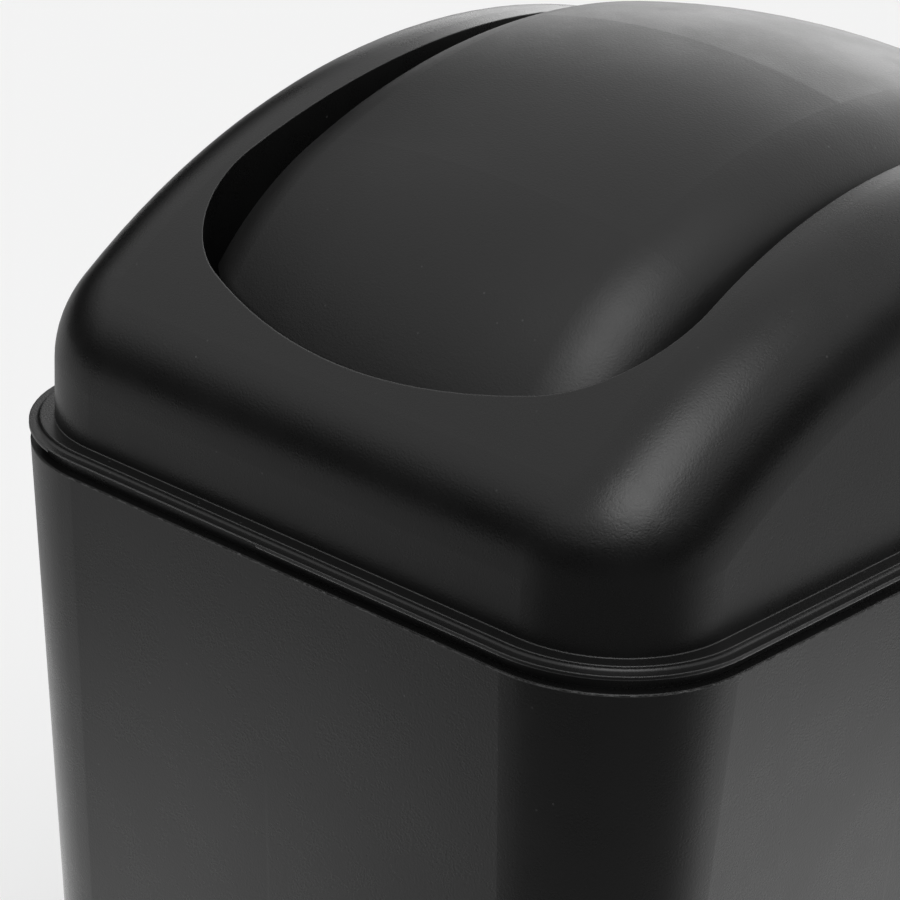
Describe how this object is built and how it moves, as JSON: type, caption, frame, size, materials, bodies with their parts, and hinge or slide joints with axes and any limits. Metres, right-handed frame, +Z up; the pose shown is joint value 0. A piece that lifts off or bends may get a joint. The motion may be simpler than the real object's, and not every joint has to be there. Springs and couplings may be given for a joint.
{
  "type": "swing lid waste bin",
  "caption": "Small countertop waste bin: tapered open can, hood lid with raised cheeks, and a crowned flap that swings both ways on pivot pins.",
  "frame": {"origin": "centre of the underside, on the surface that the bin stands on", "axes": "+Z up; X across the narrow faces; Y along the long faces, with the front narrow face at -Y; the flap's pivot lies along X"},
  "size_m": [0.154, 0.204, 0.2603],
  "materials": {
    "can_plastic": "fine satin texture, moulded black",
    "lid_plastic": "fine satin texture, moulded black",
    "flap_plastic": "fine satin texture, moulded black",
    "pin_plastic": "smooth moulded black"
  },
  "bodies": {
    "bin": {"can": "can_plastic"},
    "lid": {"lid": "lid_plastic"},
    "flap": {"flap": "flap_plastic", "pivot_pin_left": "pin_plastic", "pivot_pin_right": "pin_plastic"}
  },
  "joints": [
    {"name": "lid_lift", "type": "slide", "parent": "bin", "child": "lid", "axis": [0, 0, 1], "range_m": [0, 0.08]},
    {"name": "flap_swing", "type": "hinge", "parent": "lid", "child": "flap", "pos_m": [0, 0, 0.2436], "axis": [1, 0, 0], "range_deg": [-80, 80]}
  ]
}
